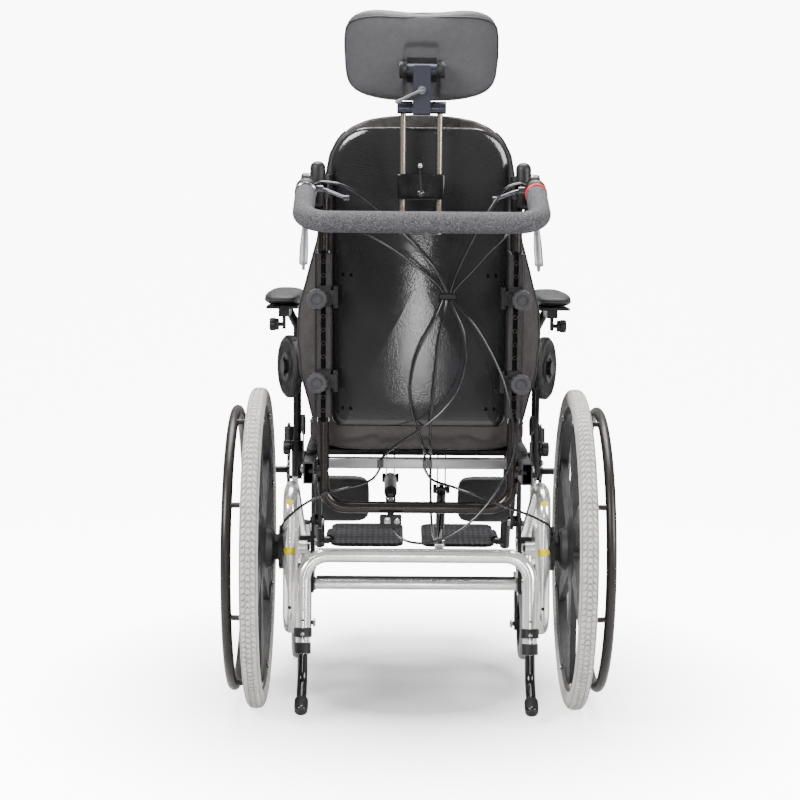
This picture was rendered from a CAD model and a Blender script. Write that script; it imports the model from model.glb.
"""Looks of the tilt in space wheelchair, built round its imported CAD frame.

Sizes are written in millimetres in the chair frame of the part's source: +X is the occupant's right, +Y is forward,
y = 0 is the rear axle and z = 0 is the floor. `to_row` moves them into the row frame in metres in one place.
"""
import logging
import math
from dataclasses import dataclass
from enum import Enum
from typing import Callable, Sequence

import bmesh
import bpy
import numpy as np
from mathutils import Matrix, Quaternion, Vector


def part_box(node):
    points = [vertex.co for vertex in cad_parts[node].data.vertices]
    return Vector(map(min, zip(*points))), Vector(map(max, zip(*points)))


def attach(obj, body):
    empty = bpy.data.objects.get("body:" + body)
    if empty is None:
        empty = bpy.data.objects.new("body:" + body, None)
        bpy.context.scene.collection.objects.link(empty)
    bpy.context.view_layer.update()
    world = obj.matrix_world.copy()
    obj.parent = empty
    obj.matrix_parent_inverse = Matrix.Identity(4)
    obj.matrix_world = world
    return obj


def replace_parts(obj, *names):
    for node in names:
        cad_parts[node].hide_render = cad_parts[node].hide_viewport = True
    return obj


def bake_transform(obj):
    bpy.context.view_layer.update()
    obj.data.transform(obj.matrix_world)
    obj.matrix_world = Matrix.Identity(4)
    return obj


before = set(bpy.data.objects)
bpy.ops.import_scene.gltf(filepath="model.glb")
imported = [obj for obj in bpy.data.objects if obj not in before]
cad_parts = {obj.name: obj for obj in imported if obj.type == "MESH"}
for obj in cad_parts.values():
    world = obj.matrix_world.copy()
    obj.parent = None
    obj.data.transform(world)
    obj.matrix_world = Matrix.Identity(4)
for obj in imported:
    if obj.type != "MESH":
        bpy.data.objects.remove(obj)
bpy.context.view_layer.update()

log = logging.getLogger("wheelchair")
Array = np.ndarray
Point = Sequence[float]

TYRE_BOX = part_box("tyre_left")
DATUM_Y = -500.0 * (TYRE_BOX[0][1] + TYRE_BOX[1][1])
RECLINE = np.array([0.0, -80.0, 462.0])
BACK_LEAN = math.radians(3.5)
SIDES = ((-1, "left"), (1, "right"))
RIGHT, AHEAD, UP = (1, 0, 0), (0, 1, 0), (0, 0, 1)
PER_METRE = 1000.0


# ---------------------------------------------------------------- places
def to_row(points: Array) -> Array:
    """Chair millimetres to row metres.

    Args:
        points: any array whose last axis is x, y, z in chair millimetres.

    Returns:
        The same points in the row frame, in metres.
    """
    return (np.asarray(points, float) - (0.0, DATUM_Y, 0.0)) / PER_METRE


def to_chair(points: Array) -> Array:
    """Row metres to chair millimetres."""
    return points * PER_METRE + (0.0, DATUM_Y, 0.0)


def on_back(points: Array) -> Array:
    """Points (x, in front of the back's tube line, above the recline hinge) to chair millimetres.

    The back leans by a fixed angle, so y = hinge + b cos a - h sin a and z = hinge + b sin a + h cos a.

    Args:
        points: any array whose last axis is x, b, h.

    Returns:
        The points in the chair frame.
    """
    p = np.asarray(points, float)
    c, s = math.cos(BACK_LEAN), math.sin(BACK_LEAN)
    return np.stack([p[..., 0], RECLINE[1] + p[..., 1] * c - p[..., 2] * s,
                     RECLINE[2] + p[..., 1] * s + p[..., 2] * c], -1)


def unit(v: Point) -> Array:
    """The vector scaled to length one."""
    v = np.asarray(v, float)
    return v / np.linalg.norm(v)


def signed_power(w: Array, m: float) -> Array:
    """The size of w raised to m, with the sign of w."""
    return np.sign(w) * np.abs(w) ** m


BACK_UP = unit(on_back((0, 0, 1)) - on_back((0, 0, 0)))
BACK_REAR = unit(on_back((0, -1, 0)) - on_back((0, 0, 0)))


# ---------------------------------------------------------------- surfaces on grids
@dataclass
class Surface:
    """Vertices in chair millimetres and the four-sided faces of one surface."""

    verts: Array
    faces: Array

    def mirrored(self, side: int) -> "Surface":
        """The surface on the right for side 1, or its mirror image on the left for side -1."""
        return Surface(self.verts * (side, 1, 1), self.faces)


def grid(points: Array, wrap_rows: bool = False, wrap_cols: bool = False) -> Surface:
    """Join a rows by columns array of points into four-sided faces.

    Args:
        points: array of shape (rows, columns, 3).
        wrap_rows: the last row joins the first.
        wrap_cols: the last column joins the first.

    Returns:
        The surface.
    """
    rows, cols = points.shape[:2]
    i, j = np.meshgrid(np.arange(rows if wrap_rows else rows - 1), np.arange(cols if wrap_cols else cols - 1),
                       indexing="ij")
    k, m = (i + 1) % rows, (j + 1) % cols
    faces = np.stack([i * cols + j, k * cols + j, k * cols + m, i * cols + m], -1).reshape(-1, 4)
    return Surface(points.reshape(-1, 3), faces)


def lathe(profile: Sequence[Point], origin: Point, axis: Point, sides: int = 32, closed: bool = False) -> Surface:
    """Turn a (radius, distance along the axis) profile about an axis.

    Each point is origin + along * axis + radius * (cos t * e1 + sin t * e2).

    Args:
        profile: the radius and distance pairs, from one pole to the other, or round a ring.
        origin: the axis' start in chair millimetres.
        axis: its direction.
        sides: steps round the axis.
        closed: the profile is a ring, so its end joins its start.

    Returns:
        The surface.
    """
    p = np.asarray(profile, float)
    w = unit(axis)
    e1 = unit(np.cross(w, (0.0, 1.0, 0.0) if abs(w[1]) < 0.9 else (1.0, 0.0, 0.0)))
    e2 = np.cross(w, e1)
    t = np.linspace(0, 2 * np.pi, sides, endpoint=False)[:, None, None]
    ring = np.cos(t) * e1 + np.sin(t) * e2
    pts = np.asarray(origin, float) + p[None, :, 1, None] * w + p[None, :, 0, None] * ring
    return grid(pts, True, closed)


def rounded_path(points: Sequence[Point], radii: Sequence[float], step: float = 5.0) -> Array:
    """Straight runs joined by arcs, as points a step apart on the arcs.

    At a corner with turn a the arc starts r tan(a/2) before it, and its points are the centre plus r times the
    turned unit vector from the centre to the start.

    Args:
        points: the corners.
        radii: one arc radius for each inner corner.
        step: distance between points on the arcs.

    Returns:
        Array of shape (n, 3).
    """
    corners = [np.asarray(p, float) for p in points]
    out = [corners[0][None]]
    for before, corner, after, r in zip(corners, corners[1:], corners[2:], radii):
        into, away = unit(corner - before), unit(after - corner)
        turn = math.acos(np.clip(into @ away, -1, 1))
        start = corner - into * r * math.tan(turn / 2)
        inward = unit(away - into * (into @ away))
        t = np.linspace(0, turn, max(3, int(r * turn / step) + 2))[:, None]
        out.append(start + r * np.sin(t) * into + r * (1 - np.cos(t)) * inward)
    out.append(corners[-1][None])
    return np.concatenate(out)


def sweep(path: Array, radius: float | Array, up: Point, sides: int = 24, dome: float = 0.0,
          flat: float = 1.0) -> Surface:
    """Carry a circle or ellipse along a path and close both ends.

    At each station the ring is centre + radius * (cos t * n + flat * sin t * b), where n is up made square to the
    path and b is their cross product. dome adds end rings on a quarter ellipse of that height.

    Args:
        path: stations, shape (n, 3).
        radius: one radius, or one for each station.
        up: a direction that is never along the path.
        sides: steps round the ring.
        dome: height of the rounded ends, 0 for flat ends.
        flat: the ring's height over its width.

    Returns:
        The closed surface.
    """
    path = np.asarray(path, float)
    radius = np.broadcast_to(np.asarray(radius, float), len(path)).copy()
    tangent = np.gradient(path, axis=0)
    tangent /= np.linalg.norm(tangent, axis=1, keepdims=True)
    a = np.linspace(0, np.pi / 2, 5) if dome else np.array([0.0, np.pi / 2])
    low = path[:1] - tangent[:1] * dome * np.sin(a[::-1, None])
    high = path[-1:] + tangent[-1:] * dome * np.sin(a[:, None])
    path = np.concatenate([low, path[1:-1], high])
    tangent = np.concatenate([np.repeat(tangent[:1], len(a), 0), tangent[1:-1],
                              np.repeat(tangent[-1:], len(a), 0)])
    radius = np.concatenate([radius[0] * np.cos(a[::-1]), radius[1:-1], radius[-1] * np.cos(a)])
    n = np.asarray(up, float) - (tangent @ np.asarray(up, float))[:, None] * tangent
    n /= np.linalg.norm(n, axis=1, keepdims=True)
    b = np.cross(tangent, n)
    t = np.linspace(0, 2 * np.pi, sides, endpoint=False)[None, :, None]
    ring = np.cos(t) * n[:, None] + flat * np.sin(t) * b[:, None]
    return grid(path[:, None] + radius[:, None, None] * ring, False, True)


def pad_form(half: Point, plan: float, side: float, crown: float = 0.0, rows: int = 40, cols: int = 96,
             base: float = 1.0) -> Array:
    """A closed pad about the origin: a rounded slab whose top swells in the middle.

    With c(w, m) = sign(cos w) |cos w|^m and s likewise, x = a c(v, side) c(u, plan), y = b c(v, side) s(u, plan)
    and z = h s(v, side), and the top rises by crown * (1 - (x/a)^2)(1 - (y/b)^2).

    Args:
        half: half sizes along x, y and z.
        plan: power of the outline, 1 for an ellipse and near 0 for a rectangle.
        side: power of the upright section.
        crown: height added to the middle of the top.
        rows: steps from the bottom to the top.
        cols: steps round.
        base: the bottom half's height over the top half's.

    Returns:
        Array of shape (rows, cols, 3).
    """
    v = np.linspace(-np.pi / 2, np.pi / 2, rows)[:, None]
    u = np.linspace(0, 2 * np.pi, cols, endpoint=False)[None, :]
    ring = signed_power(np.cos(v), side)
    x, y = ring * signed_power(np.cos(u), plan), ring * signed_power(np.sin(u), plan)
    z = signed_power(np.sin(v), side) * np.ones_like(u)
    swell = crown * np.clip(z, 0, 1) * (1 - x ** 2) * (1 - y ** 2)
    z = np.where(z < 0, z * base, z)
    return np.stack([x * half[0], y * half[1], z * half[2] + swell], -1)


def smooth_step(x: Array, low: float, high: float) -> Array:
    """0 below low, 1 above high and a smooth cubic between them."""
    t = np.clip((x - low) / (high - low), 0, 1)
    return t * t * (3 - 2 * t)


# ---------------------------------------------------------------- shader groups
class Sockets:
    """Places and joins the nodes of one node tree."""

    def __init__(self, tree: bpy.types.NodeTree) -> None:
        """Keep the tree and start it empty."""
        self.tree = tree
        tree.nodes.clear()

    def node(self, kind: str, **values: object) -> bpy.types.Node:
        """Add a node.

        Args:
            kind: the node's type name.
            values: its properties, or its inputs where the name is one of them with underscores for spaces.

        Returns:
            The node.
        """
        made = self.tree.nodes.new(kind)
        for key, value in values.items():
            label = key.replace("_", " ")
            if hasattr(made, key):
                setattr(made, key, value)
            else:
                self.put(made.inputs[label] if label in made.inputs else made.inputs[int(key[1:])], value)
        return made

    def put(self, socket: bpy.types.NodeSocket, value: object) -> None:
        """Join an output to the socket, or set its value."""
        if isinstance(value, bpy.types.NodeSocket):
            self.tree.links.new(value, socket)
        else:
            socket.default_value = value

    def maths(self, operation: str, *values: object) -> bpy.types.NodeSocket:
        """The output of a Math node with these inputs."""
        made = self.tree.nodes.new("ShaderNodeMath")
        made.operation = operation
        for socket, value in zip(made.inputs, values):
            self.put(socket, value)
        return made.outputs[0]

    def ramp(self, value: object, low: float, high: float, to_low: float = 0.0,
             to_high: float = 1.0) -> bpy.types.NodeSocket:
        """The value taken from one range to another, kept inside it."""
        made = self.node("ShaderNodeMapRange", Value=value)
        for name, number in (("From Min", low), ("From Max", high), ("To Min", to_low), ("To Max", to_high)):
            made.inputs[name].default_value = number
        return made.outputs[0]

    def mix(self, share: object, a: object, b: object) -> bpy.types.NodeSocket:
        """Two colours mixed by a share."""
        made = self.tree.nodes.new("ShaderNodeMix")
        made.data_type = "RGBA"
        self.put(made.inputs[0], share)
        self.put(made.inputs[6], a)
        self.put(made.inputs[7], b)
        return made.outputs[2]


class Pattern(Enum):
    """The surface patterns that the finishes share."""

    LEATHER = "leather_grain"
    MOULDED = "moulded_grain"
    BRUSHED = "brushed_lines"
    CELLS = "foam_cells"
    WOVEN = "woven_bands"
    PAINT = "paint_peel"
    SCALES = "scale_tread"


class PatternShop:
    """Builds each pattern's node group once. Every group turns Vector and Scale into Mask and Height."""

    def __init__(self) -> None:
        """Start with no groups."""
        self.made: dict[str, bpy.types.NodeTree] = {}

    def group(self, name: str, build: Callable[[Sockets, bpy.types.NodeSocket], tuple]) -> bpy.types.NodeTree:
        """Make or fetch a group.

        Args:
            name: the group's name.
            build: gets the sockets helper and the scaled vector and returns the mask and height outputs.

        Returns:
            The node group.
        """
        if name in self.made:
            return self.made[name]
        tree = bpy.data.node_groups.new(name, "ShaderNodeTree")
        tree.interface.new_socket("Vector", in_out="INPUT", socket_type="NodeSocketVector")
        tree.interface.new_socket("Scale", in_out="INPUT", socket_type="NodeSocketFloat")
        tree.interface.new_socket("Mask", in_out="OUTPUT", socket_type="NodeSocketFloat")
        tree.interface.new_socket("Height", in_out="OUTPUT", socket_type="NodeSocketFloat")
        kit = Sockets(tree)
        source = kit.node("NodeGroupInput")
        scaled = kit.node("ShaderNodeVectorMath", operation="SCALE")
        kit.put(scaled.inputs[0], source.outputs["Vector"])
        kit.put(scaled.inputs["Scale"], source.outputs["Scale"])
        mask, height = build(kit, scaled.outputs[0])
        sink = kit.node("NodeGroupOutput")
        kit.put(sink.inputs["Mask"], mask)
        kit.put(sink.inputs["Height"], height)
        self.made[name] = tree
        return tree

    def pattern(self, kind: Pattern) -> bpy.types.NodeTree:
        """The node group of one named pattern."""
        return self.group(kind.value, getattr(self, kind.name.lower()))

    def noise(self, kit: Sockets, vector: object, scale: float, detail: float = 3.0) -> bpy.types.NodeSocket:
        """A noise value of the vector."""
        return kit.node("ShaderNodeTexNoise", Vector=vector, Scale=scale, Detail=detail).outputs[0]

    def stretched(self, kit: Sockets, vector: object, sizes: Point) -> bpy.types.NodeSocket:
        """The vector scaled by a different amount along each axis."""
        return kit.node("ShaderNodeMapping", Vector=vector, Scale=tuple(sizes)).outputs[0]

    def leather(self, kit: Sockets, vector: bpy.types.NodeSocket) -> tuple:
        """Pebbled cells with soft creases between them, broken up by noise."""
        cells = kit.node("ShaderNodeTexVoronoi", Vector=vector, Scale=1.0, feature="DISTANCE_TO_EDGE")
        crease = kit.ramp(cells.outputs["Distance"], 0.0, 0.22)
        soft = self.noise(kit, vector, 0.13)
        return kit.ramp(soft, 0.35, 0.68), kit.maths("MULTIPLY_ADD", soft, 0.6, crease)

    def moulded(self, kit: Sockets, vector: bpy.types.NodeSocket) -> tuple:
        """Fine spark-eroded grain with broad clouding."""
        fine = self.noise(kit, vector, 1.0, 2.0)
        return kit.ramp(self.noise(kit, vector, 0.02), 0.35, 0.65), kit.ramp(fine, 0.3, 0.7)

    def brushed(self, kit: Sockets, vector: bpy.types.NodeSocket) -> tuple:
        """Fine lines drawn out along Z."""
        lines = self.noise(kit, self.stretched(kit, vector, (1.0, 1.0, 0.04)), 1.0, 4.0)
        return kit.ramp(lines, 0.3, 0.7), lines

    def cells(self, kit: Sockets, vector: bpy.types.NodeSocket) -> tuple:
        """Open foam: small dark pits and lighter flecks."""
        pits = kit.node("ShaderNodeTexVoronoi", Vector=vector, Scale=1.0)
        fleck = kit.ramp(self.noise(kit, vector, 0.9, 1.0), 0.5, 0.66)
        return fleck, kit.ramp(pits.outputs["Distance"], 0.1, 0.6)

    def woven(self, kit: Sockets, vector: bpy.types.NodeSocket) -> tuple:
        """Ribs across the webbing crossed by finer threads along it."""
        parts = kit.node("ShaderNodeSeparateXYZ", Vector=vector)
        ribs = kit.maths("SINE", kit.maths("ADD", parts.outputs[2], parts.outputs[1]))
        slant = kit.maths("SUBTRACT", parts.outputs[2], parts.outputs[1])
        threads = kit.maths("SINE", kit.maths("MULTIPLY", slant, 0.6))
        height = kit.maths("MAXIMUM", ribs, threads)
        return kit.ramp(height, -0.6, 0.9), height

    def paint(self, kit: Sockets, vector: bpy.types.NodeSocket) -> tuple:
        """Slight orange peel of a powder coat, with broad handling marks."""
        marks = self.noise(kit, vector, 0.03, 5.0)
        return kit.ramp(marks, 0.42, 0.7), self.noise(kit, vector, 1.0, 1.0)

    def scales(self, kit: Sockets, vector: bpy.types.NodeSocket) -> tuple:
        """Overlapping raised scales of a foot tread."""
        cells = kit.node("ShaderNodeTexVoronoi", Vector=vector, Scale=1.0, Randomness=0.15)
        bump = kit.ramp(cells.outputs["Distance"], 0.25, 0.6, 1.0, 0.0)
        return bump, bump


SHOP = PatternShop()
MADE: dict[str, bpy.types.Material] = {}
DUST = "#8d8a84"


# ---------------------------------------------------------------- finishes
def colour(code: str) -> tuple[float, float, float, float]:
    """A linear colour with alpha from a hex code."""
    parts = [int(code[i:i + 2], 16) / 255 for i in (1, 3, 5)]
    return tuple(c / 12.92 if c <= 0.04045 else ((c + 0.055) / 1.055) ** 2.4 for c in parts) + (1.0,)


@dataclass(frozen=True)
class Zone:
    """A part of a CAD node, inside or outside a radius round a line, that takes another colour."""

    centre: tuple[float, float, float]
    axis: int
    radius: float
    shade: str
    outside: bool = True


@dataclass(frozen=True)
class Finish:
    """One finish: two near colours that its pattern mixes, and how it shines."""

    name: str
    base: str
    shade: str
    pattern: Pattern
    scale: float
    depth: float
    rough: float
    spread: float = 0.06
    metallic: float = 0.0
    coat: float = 0.0
    sheen: float = 0.0
    dust: float = 0.02
    level: float = 0.3
    zone: Zone | None = None

    def material(self) -> bpy.types.Material:
        """Build the finish's material once and return it."""
        if self.name in MADE:
            return MADE[self.name]
        made = MADE[self.name] = bpy.data.materials.new("finish_" + self.name)
        made.use_nodes = True
        kit = Sockets(made.node_tree)
        place = kit.node("ShaderNodeTexCoord").outputs["Object"]
        grain = kit.node("ShaderNodeGroup", node_tree=SHOP.pattern(self.pattern))
        kit.put(grain.inputs["Vector"], place)
        kit.put(grain.inputs["Scale"], self.scale)
        tint = kit.mix(grain.outputs["Mask"], colour(self.base), colour(self.shade))
        if self.zone:
            tint = kit.mix(self.zone_mask(kit, place), tint, colour(self.zone.shade))
        marks = kit.node("ShaderNodeTexNoise", Vector=place, Scale=70.0, Detail=5.0).outputs[0]
        worn = kit.ramp(marks, 0.5, 0.8, 0.0, self.dust)
        tint = kit.mix(worn, tint, colour(DUST))
        rough = kit.ramp(grain.outputs["Mask"], 0.0, 1.0, self.rough - self.spread, self.rough + self.spread)
        bump = kit.node("ShaderNodeBump", Height=grain.outputs["Height"], Distance=self.depth / PER_METRE,
                        Strength=1.0)
        shader = kit.node("ShaderNodeBsdfPrincipled", Base_Color=tint, Roughness=rough, Metallic=self.metallic,
                          Coat_Weight=self.coat, Coat_Roughness=0.15, Sheen_Weight=self.sheen,
                          Specular_IOR_Level=self.level, Normal=bump.outputs[0])
        kit.put(kit.node("ShaderNodeOutputMaterial").inputs["Surface"], shader.outputs[0])
        return made

    def zone_mask(self, kit: Sockets, place: bpy.types.NodeSocket) -> bpy.types.NodeSocket:
        """1 where the distance from the zone's line is past its radius, or short of it."""
        row = to_row(self.zone.centre)
        parts = kit.node("ShaderNodeSeparateXYZ", Vector=place)
        squares = [kit.maths("POWER", kit.maths("SUBTRACT", parts.outputs[i], float(row[i])), 2.0)
                   for i in range(3) if i != self.zone.axis]
        far = kit.maths("SQRT", kit.maths("ADD", *squares))
        edge, blur = self.zone.radius / PER_METRE, 0.0003
        ends = (0.0, 1.0) if self.zone.outside else (1.0, 0.0)
        return kit.ramp(far, edge - blur, edge + blur, *ends)


SILVER = Finish("silver_powder_coat", "#eeedea", "#e2e1df", Pattern.PAINT, 900, 0.03, 0.22, 0.04, 0.75, 0.3,
                level=0.5)
BLACK_PAINT = Finish("black_powder_coat", "#0c0c0d", "#131314", Pattern.PAINT, 900, 0.06, 0.34, 0.06, 0.0, 0.1)
CHAMPAGNE = Finish("dark_champagne_metal", "#3b3736", "#2e2b2a", Pattern.BRUSHED, 2500, 0.01, 0.26, 0.04, 0.9)
RAIL_METAL = Finish("dark_rail_metal", "#3a3838", "#2c2a2a", Pattern.BRUSHED, 2500, 0.01, 0.3, 0.05, 0.8)
BAR_METAL = Finish("light_bar_metal", "#a6a4a7", "#929093", Pattern.BRUSHED, 2500, 0.01, 0.34, 0.05, 0.8)
HEAD_METAL = Finish("grey_head_metal", "#3e3f48", "#35363e", Pattern.BRUSHED, 2500, 0.01, 0.4, 0.05, 0.6)
ROD_METAL = Finish("champagne_rod", "#9b9183", "#857b6f", Pattern.BRUSHED, 2500, 0.01, 0.28, 0.04, 0.9,
                   zone=Zone((0.0, -150.9, 1129.9), 0, 12.5, "#3e3f48", outside=False))
STEEL = Finish("bright_steel", "#a9aaac", "#919294", Pattern.BRUSHED, 3000, 0.01, 0.2, 0.06, 1.0, dust=0.04)
TYRE = Finish("grey_tyre", "#b4b1ad", "#a8a5a0", Pattern.MOULDED, 1800, 0.12, 0.78, 0.05, dust=0.05)
WHEEL = Finish("charcoal_wheel", "#1a1a1b", "#222223", Pattern.MOULDED, 2200, 0.08, 0.48, 0.05)
HANDRIM = Finish("dark_anodised_rim", "#353231", "#2a2827", Pattern.BRUSHED, 2500, 0.01, 0.36, 0.05, 0.6)
PLASTIC = Finish("black_plastic", "#0c0c0d", "#141415", Pattern.MOULDED, 2400, 0.08, 0.42, 0.06)
RUBBER = Finish("black_rubber", "#0a0a0b", "#121213", Pattern.MOULDED, 1600, 0.1, 0.55, 0.06)
GREY_KNOB = Finish("grey_knob", "#333335", "#2a2a2c", Pattern.MOULDED, 2400, 0.1, 0.5, 0.05)
SHELL = Finish("grained_black_shell", "#1b1b1c", "#202021", Pattern.MOULDED, 330, 0.085, 0.1, 0.02, dust=0.0,
               level=0.5)
HOLE = Finish("dark_hole", "#020202", "#040404", Pattern.PAINT, 900, 0.0, 0.8, dust=0.0, level=0.05)
GLOSS_BLACK = Finish("gloss_black", "#070708", "#0d0d0e", Pattern.PAINT, 900, 0.03, 0.16, 0.03, level=0.5)
LEVER_METAL = Finish("lever_grey_metal", "#7e7f82", "#6a6b6e", Pattern.BRUSHED, 2500, 0.01, 0.35, 0.05, 0.6)
TRIGGER_METAL = Finish("trigger_metal", "#6e6e71", "#545457", Pattern.BRUSHED, 2500, 0.01, 0.26, 0.05, 0.9)
TAUPE = Finish("taupe_leatherette", "#2a2626", "#302c2b", Pattern.LEATHER, 900, 0.22, 0.46, 0.06)
PAD = Finish("black_leatherette", "#0f0f10", "#161617", Pattern.LEATHER, 850, 0.2, 0.42, 0.05)
HEAD_PAD = Finish("charcoal_leatherette", "#39383b", "#3e3d41", Pattern.LEATHER, 850, 0.2, 0.46, 0.05)
PIPING = Finish("piping", "#211f1f", "#282525", Pattern.LEATHER, 1200, 0.12, 0.4)
FOAM = Finish("speckled_foam", "#2f2e30", "#6c6b6e", Pattern.CELLS, 850, 0.5, 0.85, 0.06)
WEBBING = Finish("black_webbing", "#17181a", "#2c2d30", Pattern.WOVEN, 4200, 0.35, 0.7, 0.06, sheen=0.3)
CABLE = Finish("cable_sheath", "#202022", "#28282a", Pattern.PAINT, 900, 0.0, 0.15, 0.02, 0.7, 0.6, dust=0.0)
YELLOW = Finish("yellow_plug", "#e4d000", "#dcc800", Pattern.MOULDED, 1800, 0.02, 0.3, dust=0.0)
RED = Finish("red_ring", "#c0202c", "#a31822", Pattern.MOULDED, 1800, 0.03, 0.35)
TREAD = Finish("foot_tread", "#131314", "#2a2a2c", Pattern.SCALES, 85, 1.4, 0.7, level=0.08)


def caster_finish(name: str, axle: tuple[float, float, float]) -> Finish:
    """Black hub inside a grey tread, split at a radius round that side's caster axle."""
    hub = Zone(axle, 0, 47.0, "#1a1b1d", outside=False)
    return Finish(f"caster_{name}", "#8f9092", "#7d7e80", Pattern.MOULDED, 1600, 0.1, 0.6, zone=hub)


# ---------------------------------------------------------------- pieces
CLOTH_STEPS = 20
INWARD_SHARE = 0.2


def dress(node: str, finish: Finish) -> None:
    """Give a CAD node its material through its object's slots."""
    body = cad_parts[node]
    if not body.material_slots:
        body.data.materials.append(None)
    for place in body.material_slots:
        place.link = "OBJECT"
        place.material = finish.material()


def piece(name: str, surfaces: Sequence[Surface], finish: Finish, body: str | None = None,
          bevel: float = 0.0, sharp: float = 40.0) -> bpy.types.Object:
    """Make one object from surfaces, dress it and let it ride on a body.

    Args:
        name: the object's name.
        surfaces: closed surfaces in chair millimetres.
        finish: what it is made of.
        body: the CAD body that it rides on, or None where it is blended later.
        bevel: width of a bevel on its sharp edges in millimetres.
        sharp: angle in degrees past which an edge stays sharp.

    Returns:
        The object.
    """
    counts = np.cumsum([0] + [len(s.verts) for s in surfaces])
    verts = to_row(np.concatenate([s.verts for s in surfaces]))
    faces = np.concatenate([s.faces + n for s, n in zip(surfaces, counts)])
    mesh = bpy.data.meshes.new(name)
    mesh.from_pydata(verts.tolist(), [], faces.tolist())
    tidy(mesh, sharp)
    made = bpy.data.objects.new(name, mesh)
    bpy.context.collection.objects.link(made)
    made.data.materials.append(finish.material())
    if bevel:
        cut = made.modifiers.new("bevel", "BEVEL")
        cut.width, cut.segments = bevel / PER_METRE, 2
        cut.limit_method, cut.angle_limit = "ANGLE", math.radians(40)
    if body:
        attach(made, body)
    return made


def tidy(mesh: bpy.types.Mesh, sharp: float) -> None:
    """Merge poles and doubles, turn the faces outwards and mark the sharp edges."""
    work = bmesh.new()
    work.from_mesh(mesh)
    bmesh.ops.remove_doubles(work, verts=work.verts, dist=1e-6)
    bmesh.ops.dissolve_degenerate(work, edges=work.edges, dist=1e-7)
    bmesh.ops.recalc_face_normals(work, faces=work.faces)
    work.to_mesh(mesh)
    work.free()
    mesh.polygons.foreach_set("use_smooth", [True] * len(mesh.polygons))
    mesh.set_sharp_from_angle(angle=math.radians(sharp))


def coords(mesh: bpy.types.Mesh) -> Array:
    """The mesh's vertices as an array of shape (n, 3), in row metres."""
    out = np.empty(len(mesh.vertices) * 3)
    mesh.vertices.foreach_get("co", out)
    return out.reshape(-1, 3)


def inflate(pad: bpy.types.Object, pressure: float, cap: float, voxel: float = 5.0) -> None:
    """Puff a pad with a short cloth run and keep each point within cap of its start.

    A point that the cloth draws inwards keeps a fifth of its way.

    Args:
        pad: the closed pad.
        pressure: the cloth's inner pressure.
        cap: the furthest a point may move, in millimetres.
        voxel: size of the remesh, in millimetres.
    """
    skin = pad.modifiers.new("skin", "REMESH")
    skin.mode, skin.voxel_size, skin.use_smooth_shade = "VOXEL", voxel / PER_METRE, True
    pad.data = baked(pad)
    rest = coords(pad.data)
    cloth = pad.modifiers.new("puff", "CLOTH")
    cloth.settings.quality = 4
    cloth.settings.use_pressure = True
    cloth.settings.uniform_pressure_force = pressure
    cloth.settings.tension_stiffness = 15
    cloth.settings.compression_stiffness = 15
    cloth.settings.bending_stiffness = 0.6
    cloth.settings.effector_weights.gravity = 0
    for step in range(1, CLOTH_STEPS + 1):
        bpy.context.scene.frame_set(step)
    puffed = coords(baked(pad, keep=True))
    pad.modifiers.remove(cloth)
    bpy.context.scene.frame_set(1)
    normals = np.empty(len(rest) * 3)
    pad.data.vertices.foreach_get("normal", normals)
    shift = puffed - rest
    shift[(shift * normals.reshape(-1, 3)).sum(-1) < 0] *= INWARD_SHARE
    far = np.linalg.norm(shift, axis=1, keepdims=True)
    shift *= np.minimum(1.0, cap / PER_METRE / np.maximum(far, 1e-9))
    pad.data.vertices.foreach_set("co", (rest + shift).ravel())
    pad.data.update()


def baked(made: bpy.types.Object, keep: bool = False) -> bpy.types.Mesh:
    """The object's mesh with its modifiers applied; they are removed unless keep is set."""
    graph = bpy.context.evaluated_depsgraph_get()
    graph.update()
    mesh = bpy.data.meshes.new_from_object(made.evaluated_get(graph))
    if not keep:
        made.modifiers.clear()
    return mesh


def soften(pad: bpy.types.Object) -> None:
    """One level of subdivision over a finished pad, shaded smooth."""
    pad.data.polygons.foreach_set("use_smooth", [True] * len(pad.data.polygons))
    level = pad.modifiers.new("smooth", "SUBSURF")
    level.levels = level.render_levels = 1


def crease(pad: bpy.types.Object, change: Callable[[Array], Array]) -> None:
    """Move the vertices of a pad by what change gives for its points in chair millimetres."""
    now = coords(pad.data)
    pad.data.vertices.foreach_set("co", (now + change(to_chair(now)) / PER_METRE).ravel())
    pad.data.update()


def snapped(path: Array, pad: bpy.types.Object, lift: float) -> Array:
    """Bring the stations of a seam onto a pad's surface.

    Args:
        path: stations in chair millimetres.
        pad: the pad.
        lift: distance of the seam's centre line above the surface, in millimetres.

    Returns:
        The stations on the surface.
    """
    found = []
    for station in to_row(path):
        hit, where, normal, _ = pad.closest_point_on_mesh(Vector(station))
        found.append(np.array(where + normal * (lift / PER_METRE) if hit else station))
    return to_chair(np.array(found))


def bolt(centre: Point, axis: Point, radius: float, height: float, washer: float = 1.5) -> list[Surface]:
    """A dome-headed socket bolt on a washer.

    Args:
        centre: where the washer lies.
        axis: the way the head points.
        radius: the head's radius.
        height: the head's height.
        washer: how far the washer stands out past the head.

    Returns:
        The washer and the head.
    """
    r, h = radius, height
    head = [(0, 0.6), (r, 0.6), (r, 0.35 * h), (0.9 * r, 0.7 * h), (0.6 * r, h), (0.42 * r, h),
            (0.38 * r, 0.45 * h), (0, 0.45 * h)]
    ring = [(0, 0), (r + washer, 0), (r + washer, 0.7), (r, 1.0), (0, 1.0)]
    return [lathe(ring, centre, axis, 20), lathe(head, centre, axis, 12)]


def collar(start: Point, axis: Point, radius: float, length: float, wall: float, lip: float = 1.0) -> Surface:
    """A ring round a tube with rounded lips, from start along axis."""
    r, w = radius, wall
    ring = [(r, 0), (r + w - lip, 0), (r + w, lip), (r + w, length - lip), (r + w - lip, length), (r, length)]
    return lathe(ring, start, axis, 40, True)


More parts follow.
